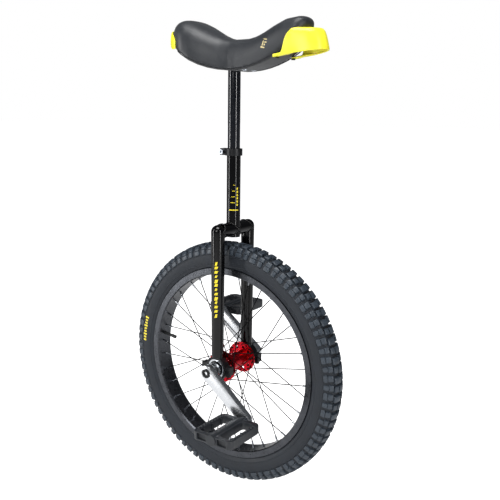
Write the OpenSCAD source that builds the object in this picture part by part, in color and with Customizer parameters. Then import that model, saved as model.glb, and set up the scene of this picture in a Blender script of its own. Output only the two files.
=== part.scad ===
// Unicycle with a 20 inch knobby wheel, a forked steel frame, a height-adjustable
// saddle with a grab handle, and two platform pedals on opposed cranks.
// Origin: on the ground under the axle. +X is the riding direction, +Y the rider's
// left, +Z up.

/* [Wheel] */
// Radius of the rim's outer lips
rim_r = 209.5; // [205:0.5:212]
// Height of the tyre above the rim's lips
tyre_h = 55; // [52:0.5:58]
// Width over the shoulder knobs
tyre_w = 54; // [48:1:60]
// Width of the rim over its lips
rim_w = 44; // [36:1:48]
// Depth of the box-section rim
rim_h = 14.5; // [13:0.5:18]
// Spokes on each side of the wheel
side_spokes = 18; // [12:6:18]
// Spoke diameter
spoke_d = 2; // [1.8:0.1:2.3]
// Upward angle of the valve, measured from the riding direction
valve_angle = 172; // [160:1:180]
// How far the valve stands out of the rim
valve_out = 32; // [20:1:40]

/* [Hub] */
// Radius of the hub's flanges
flange_r = 34; // [32:1:38]
// Thickness of each flange
flange_t = 3; // [2.5:0.5:4]
// Radius of the barrel between the flanges
barrel_r = 17; // [15:1:19]

/* [Bearings] */
// Outer diameter of a bearing
bearing_od = 42; // [40:1:44]
// Bore of a bearing
bearing_id = 20; // [19:1:21]
// Width of a bearing
bearing_w = 12; // [10:1:13]
// Wall of the bearing housings
housing_t = 5; // [4:0.5:7]

/* [Frame] */
// Wall of the frame's tubes, which fit over the seatpost
tube_t = 1.6; // [1.2:0.1:2.4]
// Diameter of the legs at their lower ends
leg_low_d = 25; // [22:1:28]
// Gap between the tyre and each leg
leg_gap = 11.2; // [8:0.2:16]
// Gap between the tyre and the crown
crown_gap = 13.2; // [10:0.1:30]
// Length of the seat tube above the crown's centre line
seat_tube_len = 165; // [130:1:200]

/* [Cranks and pedals] */
// Crank length between the axle and the pedal's axle
crank_len = 125; // [100:1:150]
// Angle of the right crank above the riding direction
crank_angle = -39; // [-90:1:90]
// Width of a crank's boss along the axle
boss_len = 29.5; // [27:0.5:34]
// Thickness of a crank's arm
crank_t = 14; // [10:1:16]
// Length of a pedal along the riding direction
pedal_len = 92; // [80:1:105]
// Width of a pedal along its axle
pedal_w = 100; // [85:1:110]
// Thickness of a pedal
pedal_h = 21; // [20:1:28]

/* [Seatpost] */
// Diameter of the seatpost
post_d = 25.4; // [24:0.2:27.2]
// Length of seatpost showing between the seat tube and the saddle
post_out = 155; // [110:1:200]
// Length of seatpost held inside the seat tube
post_in = 145; // [110:1:150]

/* [Saddle] */
// Radius of the saddle's lower edge ahead of its lowest point
pan_nose_r = 225; // [215:1:240]
// Radius of the saddle's lower edge behind its lowest point
pan_rear_r = 176; // [165:1:190]
// Half width of the saddle at the rear
rear_w = 62; // [56:1:70]
// Half width of the saddle at the waist and the nose
nose_w = 36; // [34:1:42]
// Thickness of the pan
pan_t = 4; // [3:0.5:5]
// How far the pan's underside sits above the cover's lower edge
pan_up = 7; // [4:0.5:9]
// Thickness of the cover
cover_t = 2; // [1.5:0.5:3]
// Height of the seat's lowest point above the saddle's lower edge
dip_h = 60.5; // [50:0.5:75]
// Rise of the rear above the lowest point
rear_rise = 44; // [30:1:50]
// Rise of the nose above the lowest point
nose_rise = 36.5; // [25:0.5:45]
// Wall of the yellow bumpers
bumper_t = 4; // [3:0.5:5]

/* [Hidden] */

$fn = 64;
soft_gap = 0.3;
run_gap = 0.05;

tyre_r = rim_r + tyre_h;
axle_z = tyre_r;
tube_r = post_d / 2 + tube_t;
bearing_y = tyre_w / 2 + leg_gap + tube_r;
bearing_r = bearing_od / 2;
spindle_r = bearing_id / 2;
housing_r = bearing_r + housing_t;
housing_w = bearing_w + 4;
split = 0.3;

// Rim and tyre, in radius from the axle
rim_in = rim_r - rim_h;
bead_r = rim_r - 6.5;
rim_wall = 1.6;
side_step = 360 / side_spokes;
first_hole = valve_angle + side_step / 4;
lean_steps = 3;
spoke_r = spoke_d / 2;
elbow_r = spoke_r + 0.15;
nipple_r = 2;

// Hub
flange_y = bearing_y - bearing_w / 2 - 11;
hub_half = flange_y + 4;
spoke_circle_r = flange_r - 4.5;
window_r = (spoke_circle_r - barrel_r) / 2 - 2.95;

// Bearing internals
ball_r = 0.28 * (bearing_r - spindle_r);
ball_count = 9;
ball_circle_r = (bearing_r + spindle_r) / 2;
race_gap_r = 0.155 * (bearing_r - spindle_r);

// Frame heights
crown_z = axle_z + tyre_r + crown_gap + tube_r;
seat_tube_top = crown_z + seat_tube_len;
leg_low_z = axle_z + bearing_r;
seat_tube_low = crown_z - tube_r - 2;

// Seat clamp
clamp_h = 14;
clamp_t = 3.4;
clamp_top = seat_tube_top + 1.5;
clamp_z = clamp_top - clamp_h / 2;
ear_x = tube_r + 9;
ear_half = 8;
slot_w = 3;
bolt_r = 3;

// Cranks and pedals, distances from the wheel's centre plane
boss_in = bearing_y + bearing_w / 2 + 4;
crank_out = boss_in + boss_len;
arm_in = crank_out - crank_t;
square_w = 13;
square_end = crank_out - 8;
crank_bolt_r = 10;
crank_bolt_h = 5;
eye_r = 12.5;
root_r = 16;
pedal_thread_r = 7.1;
pedal_axle_r = 6;
pedal_in = crank_out + 7.5;
pedal_out = pedal_in + pedal_w;
pedal_bore_r = 9;
bush_len = 12;

// Saddle
pan_x = 12;
dip_x = 14;
low_point = seat_tube_top + post_out;
dip_z = low_point + dip_h;
rear_run = 132;
nose_run = 112;
dip_flat = 26;
spine_rear = -88;
spine_nose = 140;
waist_x = 20;
rear_len = 50;
nose_len = 19;
nose_lean = 28;
bracket_t = 3;
bolt_x = 36;
bolt_half = 16;
stud_len = bracket_t + 6;
bumper_gap = 0.5;
flange_gap = 0.3;

function clamp01(v) = min(1, max(0, v));
// Lower edge of the saddle: two arcs that meet at pan_x, easing off behind tail_x
tail_x = -105;
tail_ease = 30;
function arc_rise(d, r) = r - sqrt(r * r - d * d);
function low_slope(x) =
    let (r = x < pan_x ? pan_rear_r : pan_nose_r, d = max(x, tail_x) - pan_x)
    d / sqrt(r * r - d * d) * exp(min(0, x - tail_x) / tail_ease);
function low_z(x) =
    x < tail_x ? low_z(tail_x) - low_slope(tail_x) * tail_ease * (1 - exp((x - tail_x) / tail_ease))
    : low_point + arc_rise(x - pan_x, x < pan_x ? pan_rear_r : pan_nose_r);
function top_z(x) =
    let (rear = x < dip_x,
         rise = rear ? rear_rise : nose_rise,
         turn = rear ? (dip_x - x) / rear_run : max(0, x - dip_x - dip_flat) / nose_run)
    dip_z + rise * (1 - cos(180 * turn)) / 2;
function half_w(x) =
    let (t = clamp01((x - spine_rear) / (waist_x - spine_rear)))
    nose_w + (rear_w - nose_w) * (1 + cos(180 * t)) / 2;

// Plan outline of the saddle, anticlockwise from the nose: nose arc, left side,
// rear arc, right side. The two halves mirror each other, point for point.
arc_n = 10;
side_n = 12;
half_outline = concat(
    [for (i = [0:arc_n]) let (a = 90 * (i + 0.25) / (arc_n + 0.25))
        [spine_nose + nose_len * cos(a), nose_w * sin(a)]],
    [for (i = [1:side_n - 1]) let (x = spine_nose + (spine_rear - spine_nose) * i / side_n)
        [x, half_w(x)]],
    [for (i = [0:arc_n]) let (a = 90 + 90 * i / (arc_n + 0.25))
        [spine_rear + rear_len * cos(a), rear_w * sin(a)]]
);
half_n = len(half_outline);
outline = concat(half_outline,
    [for (i = [half_n - 1:-1:0]) [half_outline[i][0], -half_outline[i][1]]]);
outline_n = len(outline);

function spine_x(x) = min(spine_nose, max(spine_rear, x));
// A plan point moved towards the spine by the distance d and scaled by s
function drawn_in(p, d, s) =
    let (c = spine_x(p[0]), v = [p[0] - c, p[1]], l = norm(v))
    [c + v[0] * s * (l - d) / l, v[1] * s * (l - d) / l];

// One ring of the seat's skin: d is the depth under the skin, a runs from 0 at the
// lower edge to 90 on the spine. No point lies less than lift above the lower edge.
shoulder = 3.2;
function skin_ring(d, a, lift) = [
    for (p = outline)
        let (s = pow(cos(a), 2 / shoulder), h = pow(sin(a), 2 / shoulder),
             q = drawn_in(p, d, s),
             x = q[0] + nose_lean * h * clamp01((q[0] - 100) / 60),
             low = low_z(q[0]))
        [x, q[1], low + max(lift, h * (top_z(x) - d - low))]
];
ring_angles = [0, 10, 22, 34, 46, 57, 67, 75, 82, 86.5];
ring_n = len(ring_angles);

// Faces between ring a and ring b of n points, and across one ring from side to side
function wall_faces(a, b, n) = [for (i = [0:n - 1]) each let (j = (i + 1) % n)
    [[a + i, b + i, b + j], [a + i, b + j, a + j]]];
function zip_up(a, n) = [for (i = [0:n / 2 - 2]) each
    [[a + i, a + n - 1 - i, a + i + 1], [a + i + 1, a + n - 1 - i, a + n - 2 - i]]];
function flip(faces) = [for (f = faces) [f[2], f[1], f[0]]];

// Placement helpers
module on_axle() { translate([0, 0, axle_z]) rotate([-90, 0, 0]) children(); }
module at_angle(a) { on_axle() rotate([0, 0, -a]) children(); }
module right_side() { mirror([0, 1, 0]) children(); }
module both_sides() {
    children();
    mirror([0, 1, 0]) children();
}
module on_pan(x, y) {
    translate([x, y, low_z(x) + pan_up]) rotate([0, -atan(low_slope(x)), 0]) children();
}
// A plate of width w that follows the saddle's lower edge between x0 and x1, with its
// underside raised by up
module curved_plate(x0, x1, up, t, w) {
    n = ceil((x1 - x0) / 5);
    xs = [for (i = [0:n]) x0 + (x1 - x0) * i / n];
    rotate([90, 0, 0]) linear_extrude(w, center = true) polygon(concat(
        [for (x = xs) [x, low_z(x) + up]],
        [for (i = [n:-1:0]) [xs[i], low_z(xs[i]) + up + t]]));
}
// A round bar from point p to point q
module bar(p, q, r) {
    v = q - p;
    l = norm(v);
    translate(p) rotate([0, acos(v[2] / l), atan2(v[1], v[0])]) cylinder(h = l, r = r);
}
function wheel_point(r, a, y) = [r * cos(a), y, axle_z + r * sin(a)];

// ---- Frame ----
module seat_tube() {
    color("#121417") difference() {
        translate([0, 0, seat_tube_low]) cylinder(h = seat_tube_top - seat_tube_low, r = tube_r);
        translate([0, 0, seat_tube_low - 1])
            cylinder(h = seat_tube_top - seat_tube_low + 2, r = post_d / 2 + run_gap);
        translate([-tube_r - 1, -slot_w / 2, clamp_top - 40]) cube([tube_r, slot_w, 50]);
        translate([-tube_r - 1, 0, clamp_top - 40]) rotate([0, 90, 0])
            cylinder(h = tube_r, r = slot_w);
    }
}
module crown_tube() {
    color("#121417") difference() {
        translate([0, 0, crown_z]) rotate([90, 0, 0])
            cylinder(h = 2 * bearing_y, r = tube_r, center = true);
        translate([0, 0, crown_z]) rotate([90, 0, 0])
            cylinder(h = 2 * bearing_y + 2, r = tube_r - tube_t, center = true);
        translate([0, 0, crown_z - 30]) cylinder(h = 60, r = tube_r);
        both_sides() translate([0, bearing_y, crown_z - 60]) cylinder(h = 120, r = tube_r);
    }
}
module leg() {
    leg_len = crown_z - leg_low_z;
    color("#121417") difference() {
        union() {
            translate([0, bearing_y, leg_low_z])
                cylinder(h = leg_len, r1 = leg_low_d / 2, r2 = tube_r);
            translate([0, bearing_y, crown_z]) sphere(r = tube_r);
        }
        translate([0, bearing_y, leg_low_z])
            cylinder(h = leg_len, r1 = leg_low_d / 2 - tube_t, r2 = tube_r - tube_t);
        translate([0, bearing_y, crown_z]) sphere(r = tube_r - tube_t);
        on_axle() cylinder(h = 4 * bearing_y, r = housing_r, center = true);
    }
}
module leg_right() { right_side() leg(); }
module leg_left() { leg(); }

cap_bolt_x = housing_r + 3.5;
housing_ear_h = 9;
module housing_half() {
    difference() {
        union() {
            translate([0, bearing_y, axle_z]) rotate([90, 0, 0])
                cylinder(h = housing_w, r = housing_r, center = true);
            translate([0, bearing_y, axle_z + housing_ear_h / 2])
                cube([2 * (cap_bolt_x + 7), housing_w - 2, housing_ear_h], center = true);
        }
        translate([0, bearing_y, axle_z]) rotate([90, 0, 0])
            cylinder(h = housing_w + 2, r = bearing_r, center = true);
        translate([-60, 0, axle_z - 60 + split]) cube([120, 2 * bearing_y, 60]);
        for (s = [-1, 1]) translate([s * cap_bolt_x, bearing_y, axle_z - 5])
            cylinder(h = 20, r = bolt_r);
    }
}
module housing_cap_half() {
    translate([0, 0, 2 * axle_z]) mirror([0, 0, 1]) housing_half();
}
module bearing_saddle_right() { color("#17191c") right_side() housing_half(); }
module bearing_saddle_left() { color("#17191c") housing_half(); }
module bearing_cap_right() { color("#17191c") right_side() housing_cap_half(); }
module bearing_cap_left() { color("#17191c") housing_cap_half(); }
module cap_bolts() {
    color("#2a2c30") both_sides() for (s = [-1, 1])
        translate([s * cap_bolt_x, bearing_y, axle_z - housing_ear_h]) {
            translate([0, 0, -5]) difference() {
                cylinder(h = 5, r = 5);
                translate([0, 0, -1]) cylinder(h = 4, r = 2.9, $fn = 6);
            }
            cylinder(h = 2 * housing_ear_h + 3, r = bolt_r);
        }
}

// ---- Wheel bearings, one ring profile for each race ----
module bearing_ring(r_in, r_out) {
    on_axle() translate([0, 0, bearing_y]) rotate_extrude() difference() {
        translate([r_in, -bearing_w / 2]) square([r_out - r_in, bearing_w]);
        translate([ball_circle_r, 0]) circle(r = ball_r + run_gap, $fn = 48);
    }
}
module bearing_outer_races() {
    color("#9aa0a6") both_sides() bearing_ring(ball_circle_r + race_gap_r, bearing_r);
}
module bearing_inner_races() {
    color("#9aa0a6") both_sides() bearing_ring(spindle_r, ball_circle_r - race_gap_r);
}
module bearing_balls() {
    color("#c9cdd2") both_sides() on_axle() translate([0, 0, bearing_y])
        for (i = [0:ball_count - 1]) rotate([0, 0, i * 360 / ball_count])
            translate([ball_circle_r, 0, 0]) sphere(r = ball_r, $fn = 24);
}
module bearing_seals() {
    color("#26282b") both_sides() on_axle() for (s = [-1, 1])
        translate([0, 0, bearing_y + s * (bearing_w / 2 - 1.2)]) difference() {
            cylinder(h = 0.8, r = ball_circle_r + race_gap_r, center = true);
            cylinder(h = 2, r = ball_circle_r - race_gap_r + 0.1, center = true);
        }
}

// ---- Seat clamp ----
module seat_clamp() {
    color("#17191c") difference() {
        union() {
            translate([0, 0, clamp_z]) cylinder(h = clamp_h, r = tube_r + clamp_t, center = true);
            translate([-ear_x - 6, -ear_half, clamp_z - clamp_h / 2])
                cube([ear_x + 6, 2 * ear_half, clamp_h]);
        }
        translate([0, 0, clamp_z]) cylinder(h = clamp_h + 2, r = tube_r, center = true);
        translate([0, 0, seat_tube_top]) cylinder(h = 3, r = post_d / 2 + 0.3);
        translate([-ear_x - 7, -slot_w / 2, clamp_z - clamp_h])
            cube([ear_x, slot_w, 2 * clamp_h]);
        translate([-ear_x, 0, clamp_z]) rotate([90, 0, 0])
            cylinder(h = 40, r = bolt_r + 0.1, center = true);
    }
}
module clamp_bolt() {
    color("#8d9197") translate([-ear_x, -ear_half, clamp_z]) rotate([90, 0, 0]) {
        difference() {
            cylinder(h = 6, r = 5);
            translate([0, 0, 3]) cylinder(h = 4, r = 2.9, $fn = 6);
        }
        translate([0, 0, -2 * ear_half - 6]) cylinder(h = 2 * ear_half + 6, r = bolt_r);
    }
}
module clamp_nut() {
    color("#8d9197") translate([-ear_x, ear_half, clamp_z]) rotate([-90, 0, 0]) difference() {
        cylinder(h = 5, r = 5.7, $fn = 6);
        translate([0, 0, -1]) cylinder(h = 7, r = bolt_r);
    }
}

// ---- Tyre, tube and rim, turned from profiles of radius against width ----
// Half outline of the tyre from its bead up to the crown of the tread
tyre_bulge_r = rim_r + tyre_h / 2 - 1.25;
shoulder_r = tyre_r - 13;
shoulder_w = tyre_w / 2 - 2.5;
bead_w = rim_w / 2 - rim_wall - 1.2;
function quarter(c, v, w, n) = [for (i = [0:n]) let (a = 90 * i / n) c + v * cos(a) + w * sin(a)];
tyre_out = concat(
    [[bead_r + 0.2, bead_w - 4], [bead_r + 0.2, bead_w], [rim_r - 1, bead_w]],
    quarter([tyre_bulge_r, bead_w], [rim_r + 1 - tyre_bulge_r, 0], [0, tyre_w / 2 - 1 - bead_w], 8),
    [[shoulder_r - 6, tyre_w / 2 - 0.5], [shoulder_r, shoulder_w + 2.5]],
    quarter([shoulder_r, 0], [0, shoulder_w], [tyre_r - shoulder_r, 0], 8)
);
tube_c = tyre_bulge_r + 1;
tube_half = min(tyre_w / 2 - 5, tyre_h / 2 - 5.25);
module tyre() {
    n = len(tyre_out);
    color("#23272c") on_axle() rotate_extrude($fn = 180) difference() {
        polygon(concat(tyre_out, [for (i = [n - 2:-1:0]) [tyre_out[i][0], -tyre_out[i][1]]]));
        translate([tube_c, 0]) circle(r = tube_half + soft_gap, $fn = 64);
        translate([bead_r - 1, -bead_w + 4]) square([tube_c - bead_r, 2 * bead_w - 8]);
    }
}
module inner_tube() {
    color("#1b1c1e") on_axle() rotate_extrude($fn = 180) translate([tube_c, 0]) difference() {
        circle(r = tube_half, $fn = 64);
        circle(r = tube_half - 1.2, $fn = 64);
    }
}
module rim_tape() {
    color("#3a3c40") on_axle() difference() {
        rotate_extrude($fn = 180) translate([bead_r - 3.4, -8]) square([0.8, 16]);
        rotate([0, 0, -valve_angle]) rotate([0, 90, 0]) cylinder(h = rim_r, r = 4.2);
    }
}
// Box-section rim with hooked lips and a dropped well
module rim_profile() {
    half = rim_w / 2;
    seat_w = bead_w + 1.2;
    well_r = bead_r - 5;
    difference() {
        polygon([
            [rim_r, half], [rim_r, seat_w], [bead_r, seat_w], [bead_r, 12], [bead_r - 3.4, 9],
            [bead_r - 3.4, -9], [bead_r, -12], [bead_r, -seat_w], [rim_r, -seat_w], [rim_r, -half],
            [rim_in + 2, -half], [rim_in, -half + 3], [rim_in, half - 3], [rim_in + 2, half]
        ]);
        translate([rim_in + rim_wall, -8]) square([well_r - rim_in - 2 * rim_wall + 1.4, 16]);
        for (s = [-1, 1]) translate([rim_in + rim_wall, s * 14 - 4.5])
            square([bead_r - rim_in - 2 * rim_wall, 9]);
    }
}
// Every rim hole: its angle and the side its spoke comes from
rim_holes = [for (i = [0:side_spokes - 1]) each
    [[first_hole + i * side_step, -1], [first_hole + (i + 0.5) * side_step, 1]]];
module rim() {
    color("#0f1012") difference() {
        on_axle() rotate_extrude($fn = 180) rim_profile();
        for (h = rim_holes) bar(wheel_point(rim_in - 5, h[0], h[1] * 4),
            wheel_point(rim_in + 6, h[0], h[1] * 2.6), nipple_r + 0.6);
        at_angle(valve_angle) rotate([0, 90, 0]) cylinder(h = rim_r, r = 4.1);
    }
}
module valve_stem() {
    color("#1c1d1f") at_angle(valve_angle) rotate([0, 90, 0]) {
        translate([0, 0, rim_in - valve_out + 10])
            cylinder(h = tube_c - tube_half - 0.1 - (rim_in - valve_out + 10), r = 3.2);
        translate([0, 0, rim_in - 3]) cylinder(h = 3 + bead_r - rim_in, r1 = 3.4, r2 = 4);
    }
}
module valve_cap() {
    color("#0c0c0d") at_angle(valve_angle) rotate([0, 90, 0])
        translate([0, 0, rim_in - valve_out]) cylinder(h = 10, r = 3.9);
}

// ---- Spokes: each leaves its flange on one side and leans forwards or backwards,
// so that it crosses three others on its way to the rim ----
function is_even(i) = i % 2 == 0;
function hub_angle(i, s) = first_hole + i * side_step + (s > 0 ? side_step / 2 : 0);
function rim_angle(i, s) = hub_angle(i, s) + (is_even(i) ? 1 : -1) * lean_steps * side_step;
function elbow(i, s) = wheel_point(spoke_circle_r, hub_angle(i, s),
    s * (flange_y + (is_even(i) ? 1 : -1) * (flange_t / 2 + spoke_r)));
function spoke_end(i, s) = wheel_point(rim_in + 2.2, rim_angle(i, s), s * 3);
module spoke(i, s) {
    p = elbow(i, s);
    out = is_even(i) ? -s : s;
    bar(p, spoke_end(i, s), spoke_r, $fn = 16);
    translate(p) rotate([out * -90, 0, 0]) {
        translate([0, 0, -spoke_r - 0.1]) cylinder(h = flange_t + 2 * spoke_r + 0.4, r = elbow_r, $fn = 16);
        translate([0, 0, flange_t + spoke_r + 0.1]) cylinder(h = 1.2, r = elbow_r + 0.8, $fn = 16);
    }
}
module spoke_set(s) {
    color("#101113") for (i = [0:side_spokes - 1]) spoke(i, s);
}
module spokes_right() { spoke_set(-1); }
module spokes_left() { spoke_set(1); }
module spoke_nipples() {
    color("#b9bdc2") for (s = [-1, 1]) for (i = [0:side_spokes - 1]) {
        p = spoke_end(i, s);
        q = elbow(i, s);
        along = (q - p) / norm(q - p);
        difference() {
            union() {
                bar(p, p + 15 * along, nipple_r, $fn = 24);
                bar(p - 1.5 * along, p + 0.8 * along, nipple_r + 0.4, $fn = 24);
            }
            bar(p - 0.001 * along, p + 20 * along, spoke_r, $fn = 16);
        }
    }
}

// ---- Hub, spindle and cranks ----
flange_windows = 9;
module hub_flange() {
    difference() {
        translate([0, 0, flange_y]) cylinder(h = flange_t, r = flange_r, center = true);
        for (i = [0:side_spokes - 1]) rotate([0, 0, -hub_angle(i, 1)])
            translate([spoke_circle_r, 0, 0]) cylinder(h = flange_y + 5, r = elbow_r + 0.1);
        for (i = [0:flange_windows - 1]) rotate([0, 0, i * 360 / flange_windows])
            translate([(barrel_r + spoke_circle_r) / 2, 0, 0]) cylinder(h = flange_y + 5, r = window_r);
    }
}
// Grooves in the flange edges, where the spokes with their elbows outside lie
module spoke_grooves() {
    for (s = [-1, 1]) for (i = [0:2:side_spokes - 1])
        bar(elbow(i, s), spoke_end(i, s), spoke_r + run_gap, $fn = 16);
}
module hub_shell() {
    color("#c3121f") difference() {
        union() {
            on_axle() cylinder(h = 2 * hub_half, r = barrel_r, center = true);
            on_axle() hub_flange();
            right_side() translate([0, 0, axle_z]) rotate([0, -side_step / 2, 0])
                translate([0, 0, -axle_z]) on_axle() hub_flange();
        }
        on_axle() cylinder(h = 4 * flange_y, r = spindle_r + 2, center = true);
        spoke_grooves();
    }
}
module spindle() {
    color("#8f949a") difference() {
        union() {
            on_axle() cylinder(h = 2 * (bearing_y + bearing_w / 2 + 1), r = spindle_r, center = true);
            on_axle() cylinder(h = 2 * hub_half, r = spindle_r + 2, center = true);
            at_angle(crank_angle) intersection() {
                cube([square_w, square_w, 2 * square_end], center = true);
                cylinder(h = 2 * square_end, r = square_w * 0.64, center = true);
            }
        }
        both_sides() on_axle() translate([0, 0, square_end - 22]) cylinder(h = 30, r = 4);
    }
}
module bearing_spacers() {
    color("#a5121d") both_sides() on_axle() translate([0, 0, hub_half]) difference() {
        cylinder(h = bearing_y - bearing_w / 2 - hub_half, r = spindle_r + 3);
        translate([0, 0, -1]) cylinder(h = bearing_y, r = spindle_r);
    }
}
// Crank drawn along +X on the left side; its arm tapers from root_r to eye_r
module crank() {
    side = eye_r - 0.2;
    arm_points = [[0, root_r - 0.2], [crank_len, side], [crank_len, -side], [0, 0.2 - root_r]];
    difference() {
        union() {
            translate([0, 0, arm_in]) linear_extrude(crank_t) polygon(arm_points);
            translate([0, 0, boss_in]) cylinder(h = crank_out - boss_in, r = root_r);
            translate([crank_len, 0, arm_in]) cylinder(h = crank_t, r = eye_r);
        }
        translate([0, 0, square_end / 2]) intersection() {
            cube([square_w, square_w, square_end + 2], center = true);
            cylinder(h = square_end + 2, r = square_w * 0.64, center = true);
        }
        cylinder(h = crank_out + 1, r = 4.2);
        translate([0, 0, crank_out - crank_bolt_h]) cylinder(h = 10, r = crank_bolt_r + 0.2);
        translate([crank_len, 0, 0]) cylinder(h = 2 * crank_out, r = pedal_thread_r);
    }
}
module right_turn() { right_side() at_angle(crank_angle) children(); }
module left_turn() { at_angle(crank_angle + 180) children(); }
module crank_right() { color("#d9dbde") right_turn() crank(); }
module crank_left() { color("#d9dbde") left_turn() crank(); }
module crank_bolts() {
    color("#26292e") both_sides() on_axle() {
        translate([0, 0, crank_out - crank_bolt_h]) difference() {
            cylinder(h = crank_bolt_h, r = crank_bolt_r);
            translate([0, 0, 1.5]) cylinder(h = crank_bolt_h, r = 4.6, $fn = 6);
        }
        translate([0, 0, square_end - 20]) cylinder(h = crank_out - crank_bolt_h - square_end + 20, r = 4);
    }
}

// ---- Pedals: modules draw one about its own axle, out along +Z ----
nut_z = pedal_out - 14;
module pedal_axle() {
    translate([0, 0, arm_in + 1]) cylinder(h = crank_out - arm_in - 1, r = pedal_thread_r);
    translate([0, 0, crank_out]) cylinder(h = pedal_in - crank_out - 1, r = 8.5);
    translate([0, 0, crank_out]) cylinder(h = nut_z - 1 - crank_out, r = pedal_axle_r);
    translate([0, 0, crank_out]) cylinder(h = nut_z + 5 - crank_out, r = 3);
}
module pedal_nut() {
    translate([0, 0, nut_z - 1]) difference() {
        cylinder(h = 5, r = 6, $fn = 6);
        translate([0, 0, -1]) cylinder(h = 7, r = 3);
    }
}
module pedal_bushes() {
    for (z = [pedal_in, nut_z - bush_len - 2]) translate([0, 0, z]) difference() {
        cylinder(h = bush_len, r = pedal_bore_r);
        translate([0, 0, -1]) cylinder(h = bush_len + 2, r = pedal_axle_r + run_gap);
    }
}
module pedal_cap() {
    translate([0, 0, pedal_out - 6]) cylinder(h = 6, r = pedal_bore_r);
    translate([0, 0, pedal_out]) cylinder(h = 1.5, r = pedal_bore_r + 1.5);
}
corner_r = 14;
rail_t = 8;
end_t = 10;
module pedal_plan() {
    x = pedal_len / 2 - corner_r;
    y = pedal_w / 2 - corner_r;
    square([pedal_len, 2 * y], center = true);
    square([2 * x, pedal_w], center = true);
    for (sx = [-1, 1]) for (sy = [-1, 1]) translate([sx * x, sy * y]) circle(r = corner_r);
}
module pedal_body() {
    mid = (pedal_in + pedal_out) / 2;
    inner_x = pedal_bore_r + 3;
    window_w = pedal_len / 2 - rail_t - inner_x;
    translate([0, 0, mid]) difference() {
        rotate([90, 0, 0]) linear_extrude(pedal_h, center = true) pedal_plan();
        for (s = [-1, 1]) translate([s * (inner_x + window_w / 2), 0, 0])
            cube([window_w, pedal_h + 2, pedal_w - 2 * end_t], center = true);
        for (s = [-1, 1]) for (e = [-1, 1])
            translate([s * (pedal_len / 4 + 3), 0, e * (pedal_w / 2 - end_t / 2)])
                cube([24, pedal_h - 14, end_t + 2], center = true);
        cylinder(h = pedal_w + 2, r = pedal_bore_r, center = true);
    }
}
// The pedals lie level, so a pedal turns back by its crank's angle
module at_pedal(turn) {
    at_angle(turn) translate([crank_len, 0, 0]) rotate([0, 0, turn]) children();
}
module pedal_pair_right() { right_side() at_pedal(crank_angle) children(); }
module pedal_pair_left() { at_pedal(crank_angle + 180) children(); }
module pedal_axle_right() { color("#4a4e54") pedal_pair_right() pedal_axle(); }
module pedal_axle_left() { color("#4a4e54") pedal_pair_left() pedal_axle(); }
module pedal_axle_nuts() {
    color("#8d9197") {
        pedal_pair_right() pedal_nut();
        pedal_pair_left() pedal_nut();
    }
}
module pedal_bushes_right() { color("#d8d2c0") pedal_pair_right() pedal_bushes(); }
module pedal_bushes_left() { color("#d8d2c0") pedal_pair_left() pedal_bushes(); }
module pedal_cap_right() { color("#202226") pedal_pair_right() pedal_cap(); }
module pedal_cap_left() { color("#202226") pedal_pair_left() pedal_cap(); }
module pedal_body_right() { color("#25282c") pedal_pair_right() pedal_body(); }
module pedal_body_left() { color("#25282c") pedal_pair_left() pedal_body(); }

// ---- Seatpost and saddle ----
bracket_half = bolt_x + 12;
module seatpost() {
    low = seat_tube_top - post_in;
    color("#14171b") difference() {
        translate([0, 0, low]) cylinder(h = low_z(0) + 30 - low, r = post_d / 2);
        translate([0, 0, low - 1]) cylinder(h = 600, r = post_d / 2 - 2);
        curved_plate(-bracket_half, bracket_half, pan_up - bracket_t, 100, 2 * post_d);
    }
}
module at_bracket_bolts() {
    for (x = [-bolt_x, bolt_x]) for (s = [-1, 1]) on_pan(x, s * bolt_half) children();
}
module saddle_bracket() {
    color("#1a1c1f") difference() {
        curved_plate(-bracket_half, bracket_half, pan_up - bracket_t, bracket_t, 2 * bolt_half + 18);
        at_bracket_bolts() cylinder(h = 30, r = bolt_r + 0.2, center = true);
    }
}
module bracket_bolts() {
    color("#6f747a") at_bracket_bolts() {
        translate([0, 0, -stud_len]) cylinder(h = stud_len + pan_t - 1.5, r = bolt_r);
        translate([0, 0, pan_t - 1.6]) cylinder(h = 1.4, r = 6.5);
    }
}
module bracket_nuts() {
    color("#8d9197") at_bracket_bolts() translate([0, 0, -bracket_t - 5]) difference() {
        cylinder(h = 5, r = 5.7, $fn = 6);
        translate([0, 0, -1]) cylinder(h = 7, r = bolt_r);
    }
}
pan_in = cover_t + 1;
foam_gap = 0.6;
front_screw_x = 120;
front_screw_y = nose_w - 7;
rear_screw_x = -122;
rear_screw_y = 18;
module at_bumper_screws() {
    for (s = [-1, 1]) {
        translate([front_screw_x, s * front_screw_y, hood_low(front_screw_x)]) children();
        translate([rear_screw_x, s * rear_screw_y, low_z(rear_screw_x) - flange_gap - foot_t]) children();
    }
}
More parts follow.
